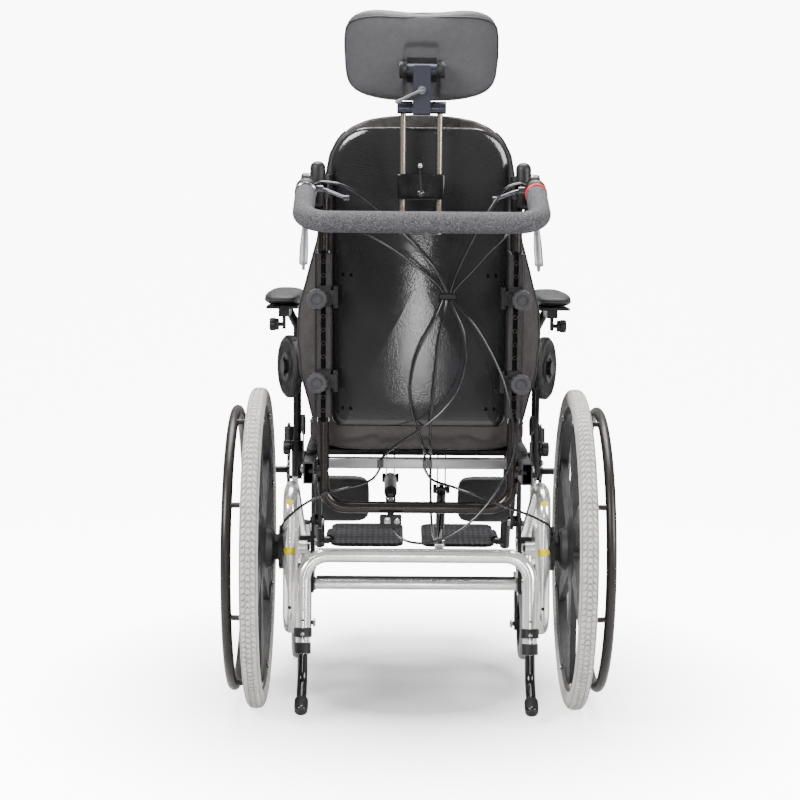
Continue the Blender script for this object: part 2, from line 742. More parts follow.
def extruded(section: Array, start: Point, wide: Point, high: Point, along: Point, length: float,
             round_end: float = 0.8) -> Surface:
    """Carry a flat closed outline along a straight line and close both ends with a small rounding.

    Each point is start + t * along + scale * (u * wide + v * high), where scale shrinks over the last round_end
    millimetres of either end and is 0 at the poles.

    Args:
        section: outline points (u, v) round the line, shape (k, 2).
        start: the line's start.
        wide: direction of u.
        high: direction of v.
        along: direction of the line.
        length: its length.
        round_end: the rounding at the ends.

    Returns:
        The closed surface.
    """
    size = np.abs(section).max()
    near = np.array([0, 0, 0.3 * round_end, round_end])
    t = np.concatenate([near, length - near[::-1]])
    less = 1 - round_end / size
    scale = np.array([0, less, 1 - 0.3 * (1 - less), 1, 1, 1 - 0.3 * (1 - less), less, 0])
    flat = section[None, :, :1] * unit(wide) + section[None, :, 1:] * unit(high)
    pts = np.asarray(start, float) + t[:, None, None] * unit(along) + scale[:, None, None] * flat
    return grid(pts, False, True)


def rounded_box(width: float, height: float, corner: float, steps: int = 6) -> Array:
    """Outline of a rectangle with round corners, as (u, v) points."""
    t = np.linspace(0, np.pi / 2, steps)
    arc = np.stack([np.cos(t), np.sin(t)], -1) * corner
    half = np.array([width / 2 - corner, height / 2 - corner])
    turns = [np.array([[c, s], [-s, c]]) for c, s in ((1, 0), (0, 1), (-1, 0), (0, -1))]
    signs = ((1, 1), (-1, 1), (-1, -1), (1, -1))
    return np.concatenate([arc @ turn + half * sign for turn, sign in zip(turns, signs)])


def back_slab(size: Point, place: Point, depth: float, rounding: float, way: int = 1) -> Surface:
    """A slab that stands square on the back.

    Args:
        size: its width, its height and its corners' radius.
        place: the middle of its near face, as x, b and h of on_back.
        depth: how far it stands out.
        rounding: the rounding of its faces' edges.
        way: 1 to the rear or -1 to the front.

    Returns:
        The closed surface.
    """
    return extruded(rounded_box(*size), on_back(place), RIGHT, BACK_UP, BACK_REAR * way, depth, rounding)


def back_lathe(profile: Sequence[Point], place: Point, sides: int) -> Surface:
    """A profile turned about a line to the rear from a place on the back, given as x, b and h of on_back."""
    return lathe(profile, on_back(place), BACK_REAR, sides)


def lobed_knob(centre: Point, axis: Point, radius: float, height: float, lobes: int, depth: float) -> Surface:
    """A hand knob whose rim has round grips: the rim radius is radius - depth * (0.5 + 0.5 cos(lobes t))^2."""
    profile = np.array([(0, 0), (0.8, 0), (1, 0.12), (1, 0.75), (0.92, 0.95), (0.6, 1.0), (0.52, 0.94),
                        (0, 0.94)])
    steps = lobes * 16
    made = lathe(profile * (radius, height), (0, 0, 0), axis, steps)
    t = np.repeat(np.linspace(0, 2 * np.pi, steps, endpoint=False), len(profile))
    ring = np.tile(profile[:, 0] > 0.7, steps)
    share = np.where(ring, 1 - depth / radius * (0.5 + 0.5 * np.cos(lobes * t)) ** 2, 1.0)
    w = unit(axis)
    along = (made.verts @ w)[:, None] * w
    return Surface(np.asarray(centre, float) + along + (made.verts - along) * share[:, None], made.faces)


def cable(name: str, route: Sequence[Point], radius: float = 2.5) -> bpy.types.Object:
    """A cable tube along a NURBS route, as a mesh.

    Args:
        name: the object's name.
        route: control points in chair millimetres.
        radius: the tube's radius in millimetres.

    Returns:
        The tube, riding on nothing yet.
    """
    data = bpy.data.curves.new(name + "_line", "CURVE")
    data.dimensions = "3D"
    data.bevel_depth, data.bevel_resolution = radius / PER_METRE, 3
    data.resolution_u, data.use_fill_caps = 8, True
    line = data.splines.new("NURBS")
    line.points.add(len(route) - 1)
    for knot, place in zip(line.points, to_row(route)):
        knot.co = (*place, 1.0)
    line.order_u = 3
    line.use_endpoint_u = True
    holder = bpy.data.objects.new(name + "_holder", data)
    bpy.context.collection.objects.link(holder)
    bpy.context.view_layer.update()
    mesh = bpy.data.meshes.new_from_object(holder.evaluated_get(bpy.context.evaluated_depsgraph_get()))
    bpy.data.objects.remove(holder)
    mesh.name = name
    tidy(mesh, 60)
    mesh.materials.clear()
    mesh.materials.append(CABLE.material())
    made = bpy.data.objects.new(name, mesh)
    bpy.context.collection.objects.link(made)
    return made


# ---------------------------------------------------------------- sub-assemblies
@dataclass
class RearWheel:
    """One rear wheel: treaded tyre, hub cone, rim bolts and the axle button."""

    side: int
    name: str
    x: float = 301.0
    z: float = 305.0
    blocks: int = 160
    tread: float = 3.2
    columns: tuple[float, float] = (4.6, 13.4)
    tabs: int = 8
    first_tab: float = 19.0
    rim_x: float = 313.1
    ring_x: float = 343.0
    ring_r: float = 262.0
    ring_tube: float = 9.5

    def build(self) -> None:
        """Make and dress the wheel's pieces."""
        body = f"rear_wheel_{self.name}"
        tyre = piece(f"grey_tyre_{self.name}", [self.tyre()], TYRE, body, sharp=50)
        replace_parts(tyre, f"tyre_{self.name}")
        dress(f"wheel_{self.name}", WHEEL)
        ring = piece(f"push_ring_{self.name}", self.push_ring(), HANDRIM, body, 0.4)
        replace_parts(ring, f"handrim_{self.name}")
        piece(f"hub_cone_{self.name}", [self.cone()], WHEEL, body)
        piece(f"rim_bolts_{self.name}", self.bolts(), STEEL, body)

    def tyre(self) -> Surface:
        """The tyre: a closed profile turned about the axle, its tread cut by staggered chevron grooves.

        The radius falls by tread where either the block's phase, shifted by half a block between columns and
        slanted with |x|, or the distance to a column's edge lies in a groove. The bead's ends are stepped more
        finely than the tread.
        """
        knots = np.array([(-12, 274.1), (-15.6, 279), (-17, 287), (-16.4, 294), (-14, 299.6), (-11.5, 302.4),
                          (-7, 304.4), (0, 305), (7, 304.4), (11.5, 302.4), (14, 299.6), (16.4, 294), (17, 287),
                          (15.6, 279), (12, 274.1)])
        along = np.concatenate([[0], np.cumsum(np.hypot(*np.diff(knots, axis=0).T))])
        end = along[-1]
        dense = np.concatenate([np.linspace(0, 26, 9), np.linspace(27, end - 27, 34),
                                np.linspace(end - 26, end, 9)])
        x, r = np.interp(dense, along, knots[:, 0]), np.interp(dense, along, knots[:, 1])
        turn = np.linspace(0, 2 * np.pi, self.blocks * 8, endpoint=False)[:, None]
        inner, outer = self.columns
        column = np.where(np.abs(x) < inner, 0.0, 0.5)
        phase = (turn * self.blocks / (2 * np.pi) + column + np.abs(x) * 0.055) % 1.0
        across = np.minimum(np.abs(np.abs(x) - inner), np.abs(np.abs(x) - outer))
        groove = np.maximum((phase < 0.28) * 1.0, (across < 0.9) * 0.8)
        depth = self.tread * groove * (np.abs(x) < 14.2)
        radius = r - depth
        pts = np.stack([self.side * (self.x + x + 0 * turn), radius * np.sin(turn),
                        self.z + radius * np.cos(turn)], -1)
        return grid(pts, True, True)

    def cone(self) -> Surface:
        """The moulded cone between the hub and the spokes."""
        ring = [(33.9, -27), (37, -26), (42, -15), (61, -8), (63, -6.5), (63, 6.5), (61, 8), (42, 15), (37, 27),
                (33.9, 28)]
        return lathe(ring, (self.side * self.x, 0, self.z), RIGHT, 64, True)

    def outwards(self) -> list[Array]:
        """Directions from the axle to the push ring's tabs."""
        turns = np.radians(self.first_tab + 90 + np.arange(self.tabs) * 360 / self.tabs)
        return [np.array([0, -math.sin(a), math.cos(a)]) for a in turns]

    def push_ring(self) -> list[Surface]:
        """The round push ring, and for each tab a plate on the rim's face and an arm that flares at the ring."""
        t = np.linspace(0, 2 * np.pi, 28, endpoint=False)
        axle = np.array([self.x, 0, self.z])
        section = np.stack([self.ring_r + self.ring_tube * np.cos(t),
                            self.ring_x - self.x + self.ring_tube * np.sin(t)], -1)
        found = [lathe(section, axle, RIGHT, 160, True)]
        for out in self.outwards():
            face = np.array([self.rim_x, 0, self.z])
            reach = self.ring_x - self.rim_x
            plate = rounded_box(16, 23, 7.9)
            found.append(extruded(plate, face + out * 261.5, np.cross(RIGHT, out), out, RIGHT, 3, 0.4))
            path = np.array([face + out * r + (x, 0, 0)
                             for r, x in ((264, 1), (263.6, 9), (263, reach - 10), (262, reach - 6))])
            found.append(sweep(path, np.array([5.2, 5.0, 5.0, 6.2]), out, 16))
        return [s.mirrored(self.side) for s in found]

    def bolts(self) -> list[Surface]:
        """Dome bolts at the push ring's tabs on the inside of the rim, and the axle's button."""
        found = []
        for out in self.outwards():
            found += bolt(out * 266 + (self.side * (self.x - 12.3), 0, self.z), (-self.side, 0, 0), 4.6, 3.6)
        head = [(0, -0.4), (11.4, -0.4), (11.6, 4.6), (10.2, 5.6), (7, 5.9), (6.4, 5.2), (0, 5.2)]
        return found + [lathe(head, (self.side * 330.3, 0, self.z), (self.side, 0, 0), 32)]


@dataclass
class Base:
    """The silver base frame with its collars, plugs, washers and pivots."""

    tube: float = 13.5
    arch_x: float = 213.0
    foot: tuple[float, float] = (-92.0, 120.0)
    side_x: float = 240.0
    side_y: float = -34.0
    sleeve_z: float = 149.1
    tower_bolts: tuple[Point, ...] = ((52, 312), (28, 262))
    tilt_pin: tuple[float, float] = (80, 345)
    cross_tube: tuple[float, float] = (40, 227)
    plugs: tuple[Point, ...] = ((304.5, 62, 7.5), (398, 34, 5))
    caster_head_y: float = 430

    def build(self) -> None:
        """Dress the frame's nodes and add its small pieces."""
        for node in ("side_frame_left", "side_frame_right", "rear_arch", "cross_tubes", "axle_plates"):
            dress(node, SILVER)
        dress("tilt_towers", BLACK_PAINT)
        dress("drum_brakes", PLASTIC)
        black, steel, yellow, holes = [], [], [], []
        up = unit((0, 32, 180))
        for side, _ in SIDES:
            low = np.array([side * self.arch_x, *self.foot])
            lift = (self.sleeve_z - self.foot[1]) / up[2]
            black.append(collar(low + up * lift, up, self.tube, 17.9, 3.6, 1.2))
            black.append(collar(low - up * 1.4, up, self.tube - 1.5, 21, 3.4, 1.0))
            screw = low + up * (lift + 9) + np.array([0, -16.6, 0])
            steel += bolt(screw, (0, -1, 0), 3.6, 2.6, 0.6)
            for high in (62, 30):
                holes.append(self.hole(low + up * high))
            for place in self.tower_bolts:
                steel += bolt((side * 196.9, *place), (-side, 0, 0), 6, 4.5)
            black.append(collar((side * 197, *self.cross_tube), (side, 0, 0), 10.9, 3.2, 5.2, 0.8))
            steel.append(collar((side * 193.5, *self.cross_tube), (side, 0, 0), 10.9, 3.2, 2.4, 0.6))
            steel += bolt((side * 184, *self.tilt_pin), (-side, 0, 0), 9, 6)
            yellow += [self.plug(side, *sizes) for sizes in self.plugs]
            holes.append(self.hole(np.array([side * self.side_x, self.side_y, 197.0])))
            steel += bolt((side * self.side_x, self.caster_head_y, 282.2), UP, 9, 6, 3)
            cap = [(0, 0), (20.5, 0), (21.4, 1), (21.4, 5), (18, 7), (0, 7)]
            black.append(lathe(cap, (side * self.side_x, self.caster_head_y, 281.8), UP, 40))
        piece("frame_collars", black, PLASTIC, "base")
        piece("frame_bolts", steel, STEEL, "base")
        piece("yellow_plugs", yellow, YELLOW, "base")
        piece("frame_holes", holes, RUBBER, "base")
        rod = sweep(np.array([(-192, 40, 240.4), (0, 40, 240.4), (192, 40, 240.4)]), 2.4, UP, 12, 1.0)
        piece("cross_tube_rod", [rod], PLASTIC, "base")

    def hole(self, centre: Array) -> Surface:
        """A dark plug set in a drilled hole on the rear of a tube."""
        plug = [(0, 0.1), (3.0, 0.1), (3.4, 0.5), (3.4, -2), (0, -2)]
        return lathe(plug, centre + np.array([0, -self.tube, 0]), (0, -1, 0), 20)

    def plug(self, side: int, z: float, spread: float, tall: float) -> Surface:
        """A plain oval lens wrapped on the rear of a side tube.

        A point at (rho, t) stands at angle rho cos t * spread round the tube and rho sin t * tall above z, and its
        height over the tube is 0.6 sqrt(1 - rho^2).
        """
        rho = np.concatenate([np.linspace(0, 1, 9), np.linspace(1, 0, 3)[1:]])[:, None]
        lift = np.concatenate([0.6 * np.sqrt(1 - np.linspace(0, 1, 9) ** 2), [-0.4, -0.4]])[:, None]
        t = np.linspace(0, 2 * np.pi, 40, endpoint=False)[None, :]
        a = rho * np.cos(t) * math.radians(spread)
        r = self.tube + 0.1 + lift
        pts = np.stack([side * self.side_x + r * np.sin(a), self.side_y - r * np.cos(a),
                        z + rho * np.sin(t) * tall], -1)
        return grid(pts, False, True)


@dataclass
class Caster:
    """One caster: its fork, wheel and axle nuts."""

    side: int
    name: str
    axle: tuple[float, float, float] = (240.0, 394.0, 75.0)

    def build(self) -> None:
        """Dress the fork and the wheel and add the axle's nuts."""
        x, y, z = self.side * self.axle[0], *self.axle[1:]
        dress(f"caster_fork_{self.name}", BLACK_PAINT)
        dress(f"caster_wheel_{self.name}", caster_finish(self.name, (x, y, z)))
        nut = [(0, 0), (9, 0), (9, 4), (7, 5.5), (4, 5.5), (4, 4), (0, 4)]
        nuts = [lathe(nut, (x + way * 27.6, y, z), (way, 0, 0), 6) for way in (-1, 1)]
        piece(f"caster_nuts_{self.name}", nuts, STEEL, f"caster_swivel_{self.name}")


@dataclass
class AntiTip:
    """One anti-tip tube with its rubber foot."""

    side: int
    name: str

    def build(self) -> None:
        """Dress the tube and add the ribbed rubber foot over its end."""
        dress(f"anti_tip_{self.name}", GLOSS_BLACK)
        down, kick = np.array([0, -0.17502, -0.98456]), np.array([0, -0.78892, -0.61449])
        end = np.array([self.side * 213.0, -92, 120]) + down * 50 + kick * 50
        ribs = [(12.6 + 0.35 * (k % 2), -2.5 + 2.0 * k) for k in range(11)]
        foot = [(0, -4.1), (11.4, -4.1), (12.4, -3.2), *ribs, (12.4, 20.5), (11.4, 23.6), (8.6, 25.9),
                (0, 26.3)]
        piece(f"tip_foot_{self.name}", [lathe(foot, end, kick, 40)], RUBBER, f"anti_tip_arm_{self.name}",
              sharp=60)


@dataclass
class Parking:
    """One parking brake lever with its grip."""

    side: int
    name: str

    def build(self) -> None:
        """Dress the lever and slip the ribbed grip over its handle."""
        dress(f"parking_lever_{self.name}", BLACK_PAINT)
        low, high = (np.array([self.side * 262.0, y, z]) for y, z in ((341.98, 457.76), (346.98, 499.76)))
        ribs = [(9.3 + 0.6 * (k % 2), 2.0 + 2.4 * k) for k in range(16)]
        grip = [(0, -0.4), (8.2, -0.4), (9.2, 0.6), *ribs, (9.2, 40.5), (7.6, 42.4), (4, 43.2), (0, 43.4)]
        piece(f"parking_grip_{self.name}", [lathe(grip, low, high - low, 32)], RUBBER,
              f"parking_brake_{self.name}", sharp=60)


@dataclass
class Seat:
    """Seat frame, pan, cushion, belt and the springs under them."""

    cushion_half: tuple[float, float, float] = (210.0, 196.0, 32.0)
    cushion_mid: tuple[float, float, float] = (0.0, 228.0, 522.0)
    bar_y: float = -12.0
    bar_z: float = 470.0
    bar_half: float = 191.0
    knob_y: float = 140.0

    def build(self) -> None:
        """Dress the frame and make the cushion, the belt and the small pieces."""
        dress("seat_frame", BLACK_PAINT)
        dress("seat_pan", PLASTIC)
        for node in ("tilt_cylinder", "recline_cylinder"):
            dress(node, BLACK_PAINT)
        for node in ("tilt_rod", "recline_rod"):
            dress(node, STEEL)
        self.cushion()
        self.belts()
        self.hardware()

    def cushion(self) -> None:
        """The crowned seat cushion with piping along both edges and three sewn channels across."""
        square = 0.22
        form = pad_form(self.cushion_half, square, 0.42, 11.0, 44, 144) + np.array(self.cushion_mid)
        pad = piece("seat_cushion_cover", [grid(form, False, True)], TAUPE, "seat")
        inflate(pad, 3.0, 7.0)
        crease(pad, self.channels)
        soften(pad)
        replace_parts(pad, "seat_cushion")
        t = np.linspace(0, 2 * np.pi, 160)
        (a, b, _), (_, mid, _) = self.cushion_half, self.cushion_mid
        seams = []
        for z in (538, 500):
            path = np.stack([a * signed_power(np.cos(t), square), mid + b * signed_power(np.sin(t), square),
                             0 * t + z], -1)
            seams.append(sweep(snapped(path, pad, 0.6), 2.0, (0.3, 0.2, 1), 8))
        piece("seat_cushion_piping", seams, PIPING, "seat")

    def channels(self, p: Array) -> Array:
        """Three shallow grooves across the top: each sinks the surface by 3.5 exp(-(distance/5)^2)."""
        top = smooth_step(p[:, 2], 540, 548)
        depth = sum(3.5 * np.exp(-((p[:, 1] - y) / 5.0) ** 2) for y in (130.0, 228.0, 326.0))
        inside = smooth_step(170 - np.abs(p[:, 0]), 0, 20)
        return np.stack([0 * depth, 0 * depth, -depth * top * inside], -1)

    def belts(self) -> None:
        """The two lap belt halves with a stitched end and a buckle."""
        x, across, along = 214.6, (0, 0.93, -0.37), (0, 0.37, 0.93)
        path = np.array([(x, -44, 452), (x, -38, 466), (x + 0.6, -28, 492), (x + 1.4, -17, 518),
                         (x + 1.2, -8, 540), (x + 0.6, -4, 552)])
        fine = np.stack([np.interp(np.linspace(0, 5, 26), range(6), path[:, k]) for k in range(3)], -1)
        strap = sweep(fine, 15.8, across, 20, 0.5, 0.085)
        buckle = extruded(rounded_box(40, 7.5, 3), (x + 1.6, -16, 528), across, RIGHT, along, 30, 2.5)
        head = bolt((x + 1.3, -40, 462), RIGHT, 7, 5)
        straps, buckles, heads = ([s.mirrored(side) for side, _ in SIDES for s in part]
                                  for part in ([strap], [buckle], head))
        made = piece("lap_belt_straps", straps, WEBBING, "seat")
        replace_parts(made, "lap_belt")
        piece("lap_belt_buckles", buckles, PLASTIC, "seat", 0.6)
        piece("lap_belt_bolts", heads, STEEL, "seat")

    def hardware(self) -> None:
        """Light sleeve on the rear bar, rail end rims, spring pin knobs and the arm sockets' star knobs."""
        bar = extruded(rounded_box(20.8, 20.8, 3), (-self.bar_half, self.bar_y, self.bar_z), AHEAD, UP, RIGHT,
                       2 * self.bar_half)
        piece("seat_rear_bar", [bar], BAR_METAL, "seat")
        knobs, rims, steel = [], [], []
        pin = [(0, 0), (9, 0), (9.5, 1), (9.5, 6), (8, 7.5), (0, 7.5)]
        for x, z in ((-50, 406), (54, 384)):
            for way in (-1, 1):
                knobs.append(lathe(pin, (x + way * 9.6, 250, z), (way, 0, 0), 28))
        for side, _ in SIDES:
            knobs.append(lobed_knob((side * 248, self.knob_y, 480), (side, 0, 0), 15, 15, 5, 4.0))
            steel += bolt((side * 249.5, self.knob_y, 452), (side, 0, 0), 5, 3.5)
            steel += bolt((side * 213.2, 80, 460), (side, 0, 0), 5, 3.5)
            outer, inner = rounded_box(20.6, 40.6, 2.5), rounded_box(15.6, 35.6, 1.5)
            loop, deep = np.stack([outer, outer, inner, inner]), np.array([0, 4, 4, 0])[:, None]
            for y in (-94.3, 388.5):
                pts = np.stack([side * 203 + loop[..., 0], y + deep + 0 * loop[..., 0], 460 + loop[..., 1]], -1)
                rims.append(grid(pts, True, True))
        piece("seat_knobs", knobs, PLASTIC, "seat")
        piece("rail_rims", rims, GREY_KNOB, "seat")
        piece("seat_bolts", steel, STEEL, "seat")


@dataclass
class Back:
    """Back tube, slotted rails, shell, cushion and clamp knobs. Sizes are x, in front, above the recline hinge."""

    low: float = 34.0
    high: float = 660.0
    start: float = 26.0
    thick: float = 70.0
    rail_x: float = 176.0
    knob_x: float = 187.0
    shell_mid: float = 359.0
    clamp_h: float = 530.0
    knob_levels: tuple[float, float] = (170.0, 325.0)
    slot: tuple[float, float] = (254.0, 318.0)
    hole_rims: int = 12

    def build(self) -> None:
        """Dress the back's nodes and make its cushion and small pieces."""
        dress("back_tube", CHAMPAGNE)
        dress("back_rails", RAIL_METAL)
        dress("back_knobs", PLASTIC)
        dress("push_joints", PLASTIC)
        self.cushion()
        self.shell()
        self.hardware()
        self.head_clamp()

    def shell(self) -> None:
        """The shell: a bowed panel with a rolled border.

        Each outline point moves to the middle by its share. Over the border the rear face rolls forward on a
        quarter ellipse.
        """
        half_width, half_height, border, wall = 164.0, 276.0, 14.0, 6.5
        outline, foot = (rounded_box(2 * half_width, 2 * half_height, corner, 24) for corner in (74, 20))
        outline = np.where(outline[:, 1:] < 0, foot, outline)
        edge = np.array([0, 0.8, 2.0, 3.6, 5.6, 8.0, 11.0, border, 30.0, 60.0, 90.0, 120.0, 150.0, half_width])
        rings = []
        for rear, order in ((True, edge[::-1]), (False, edge[:8:2])):
            for depth in order:
                share = 1 - depth / half_width
                x = outline[:, 0] * share
                h = self.shell_mid + outline[:, 1] * (1 - depth / half_height if depth < 15 else share)
                roll = wall * (1 - math.sqrt(max(0.0, 1 - max(0.0, 1 - depth / border) ** 2)))
                rings.append(np.stack([x, self.bow(x) + (roll if rear else wall), h], -1))
        rings.append(rings[-1] * (0, 1, 0) + (0, 0, self.shell_mid))
        panel = grid(on_back(np.array(rings)), False, True)
        made = piece("shell_panel", [panel], SHELL, "back", sharp=30)
        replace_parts(made, "back_shell")

    def bow(self, x: Array) -> Array:
        """How far in front the shell's rear face is at x: a parabola, 24 mm deep over the half width."""
        return 20 - 24 * (1 - (x / 175.0) ** 2)

    def head_clamp(self) -> None:
        """The clamp of the headrest rods: a ribbed block, its bridge to the shell, and the ball lever."""
        h = self.clamp_h
        block = [back_slab((84, 46, 3), (0, -41, h), 22, 1.5, -1),
                 back_slab((30, 34, 2), (0, -19.5, h), 15.4, 0.3, -1)]
        block += [back_slab((wide, 45.4, 2), (x, -43.2, h), 4, 1.0, -1)
                  for x, wide in ((-31, 17), (31, 17), (-12, 5), (12, 5))]
        block.append(sweep(on_back([(0, -46, 521), (-1, -52, 540), (-2, -60, 566)]), 2.7, RIGHT, 14, 1.5))
        made = piece("head_clamp_block", block, GLOSS_BLACK, "back", sharp=15)
        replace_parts(made, "head_clamp")
        ball = lathe([(5 * math.sin(a), -5 * math.cos(a)) for a in np.linspace(0, math.pi, 13)],
                     on_back((-2, -60, 568)), UP, 20)
        piece("clamp_lever_ball", [ball, *bolt(on_back((0, -41.5, 519)), BACK_REAR, 5, 7, 1)], STEEL, "back")

    def half_width(self, h: Array) -> Array:
        """Half width of the cushion at height h: wide at the waist, narrow at the shoulders, round at the top."""
        level = (self.low, 60, 96, 178, 240, 300, 430, 540, 585, 615, 636, 650, 657, self.high)
        half = (176, 188, 200, 222, 228, 226, 193, 177, 168, 152, 130, 100, 70, 30)
        return np.interp(h, level, half)

    def cushion(self) -> None:
        """The back cushion.

        The section at height h is a rounded slab of half width w(h). Its front is hollowed in the middle by up to
        20 mm between thick side bolsters, and both ends close on a quarter ellipse.
        """
        rows, cols = 90, 120
        v = np.linspace(0, 1, rows)
        h = self.low + (self.high - self.low) * (0.5 - 0.5 * np.cos(np.pi * v))
        ends = np.clip(1 - np.abs(2 * v - 1) ** 14, 0, 1) ** 0.5
        width = self.half_width(h) * np.maximum(ends, 0)
        u = np.linspace(0, 2 * np.pi, cols, endpoint=False)[None, :]
        x = width[:, None] * signed_power(np.cos(u), 0.28)
        across = np.clip(np.abs(x) / np.maximum(self.half_width(h), 1)[:, None], 0, 1)
        t = signed_power(np.sin(u), 0.5)
        hollow = 20 * (1 - smooth_step(across, 0.45, 0.9)) * smooth_step(h, 70, 140)[:, None]
        shoulder = 26 * smooth_step(h, 560, 655)[:, None]
        front = self.start + ends[:, None] * (self.thick - hollow - shoulder)
        rear = self.start + (1 - ends[:, None]) * 8
        b = (front + rear) / 2 + t * (front - rear) / 2
        pts = np.stack([x, b, h[:, None] + 0 * x], -1)
        pad = piece("back_cushion_cover", [grid(on_back(pts), False, True)], TAUPE, "back")
        inflate(pad, 3.0, 8.0)
        crease(pad, self.channels)
        soften(pad)
        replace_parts(pad, "back_cushion")
        line = np.linspace(0.02, 0.98, 90)
        hh = self.low + 10 + (self.high - self.low - 30) * line
        seams = []
        for side in (-1, 1):
            for b0 in (self.start + 60, self.start + 16):
                path = on_back(np.stack([side * self.half_width(hh) * 1.02, 0 * hh + b0, hh], -1))
                seams.append(sweep(snapped(path, pad, 0.5), 2.0, (0, 1, 0.02), 8, 1.5))
        piece("back_cushion_piping", seams, PIPING, "back")

    def channels(self, p: Array) -> Array:
        """Sewn lines on the front, two upright and two across, each sunk by up to 5 exp(-(distance/5)^2)."""
        c, s = math.cos(BACK_LEAN), math.sin(BACK_LEAN)
        dy, dz = p[:, 1] - RECLINE[1], p[:, 2] - RECLINE[2]
        b, h = dy * c + dz * s, -dy * s + dz * c
        front = smooth_step(b, self.start + 25, self.start + 40)
        seam = 0.62 * self.half_width(h)
        upright = np.exp(-((np.abs(p[:, 0]) - seam) / 5.0) ** 2)
        across = sum(np.exp(-((h - level) / 5.0) ** 2) for level in (200.0, 420.0)) * (np.abs(p[:, 0]) < seam)
        depth = -5.0 * front * np.maximum(upright, across)
        return np.stack([0 * depth, depth * c, depth * s], -1)

    def hardware(self) -> None:
        """Ribbed knobs, shell holes, the rails' dark slots, rims and edges, elbow domes and the release head."""
        knobs, dark, caps, slots, rims, edges, domes = [], [], [], [], [], [], []
        cap = [(0, 0.6), (7.4, 0.6), (8.0, 1.4), (9.0, 1.4), (9.6, 0), (9.6, -1), (0, -1)]
        mid, tall = self.slot
        hole = [(0, 0.2), (3.6, 0.2), (3.8, -1), (0, -1)]
        screw = [(0, 0), (6.5, 0), (6.5, 1.2), (5, 2), (2.6, 2), (2.4, 0.6), (0, 0.6)]
        for side, _ in SIDES:
            for level in self.knob_levels:
                place = on_back((side * self.knob_x, -21.5, level))
                knobs.append(lobed_knob(place, BACK_REAR, 19.4, 17.4, 12, 1.1))
                caps.append(back_lathe(cap, (side * self.knob_x, -38.0, level), 40))
            slots.append(back_slab((11, tall, 5), (side * self.rail_x, -12.5, mid), 0.7, 0.2))
            for x in (self.rail_x - 10.5, self.rail_x + 10.5):
                edges.append(back_slab((1.8, tall, 0.8), (side * x, -12.5, mid), 0.8, 0.2))
            stem = on_back([(side * self.knob_x, -3, h) for h in (500, 530, 562)])
            domes.append(sweep(stem, 14.0, RIGHT, 32, 12.0))
            for i in range(self.hole_rims):
                place = on_back((side * self.rail_x, -12.6, 116.5 + 25 * i))
                rims.append(collar(place, BACK_REAR, 3.0, 1.5, 1.1, 0.3))
            for x in (125.0, 139.5):
                for level in (118.0, 366.0):
                    dark.append(back_lathe(hole, (side * x, self.bow(x), level), 20))
            dark.append(back_lathe(screw, (side * self.rail_x, -13.3, 530), 24))
        piece("clamp_knobs", knobs, GREY_KNOB, "back")
        piece("clamp_caps", caps, GREY_KNOB, "back")
        piece("rail_slots", slots, HOLE, "back", sharp=15)
        piece("rail_holes", rims, RAIL_METAL, "back")
        piece("back_holes", dark, HOLE, "back")
        piece("rail_edges", edges, STEEL, "back", sharp=15)
        piece("elbow_domes", domes, PLASTIC, "back")
        head = back_slab((41, 25, 3), (-50, -19.7, -92), 11.4, 1.0, -1)
        piece("release_head", [head], PLASTIC, "back", sharp=15)
        block = back_slab((12, 12, 1), (-56, -25, -88), 7, 0.6, -1)
        piece("release_block", [block, *bolt(on_back((-38, -19.6, -90)), BACK_REAR, 4, 3)], STEEL, "back")


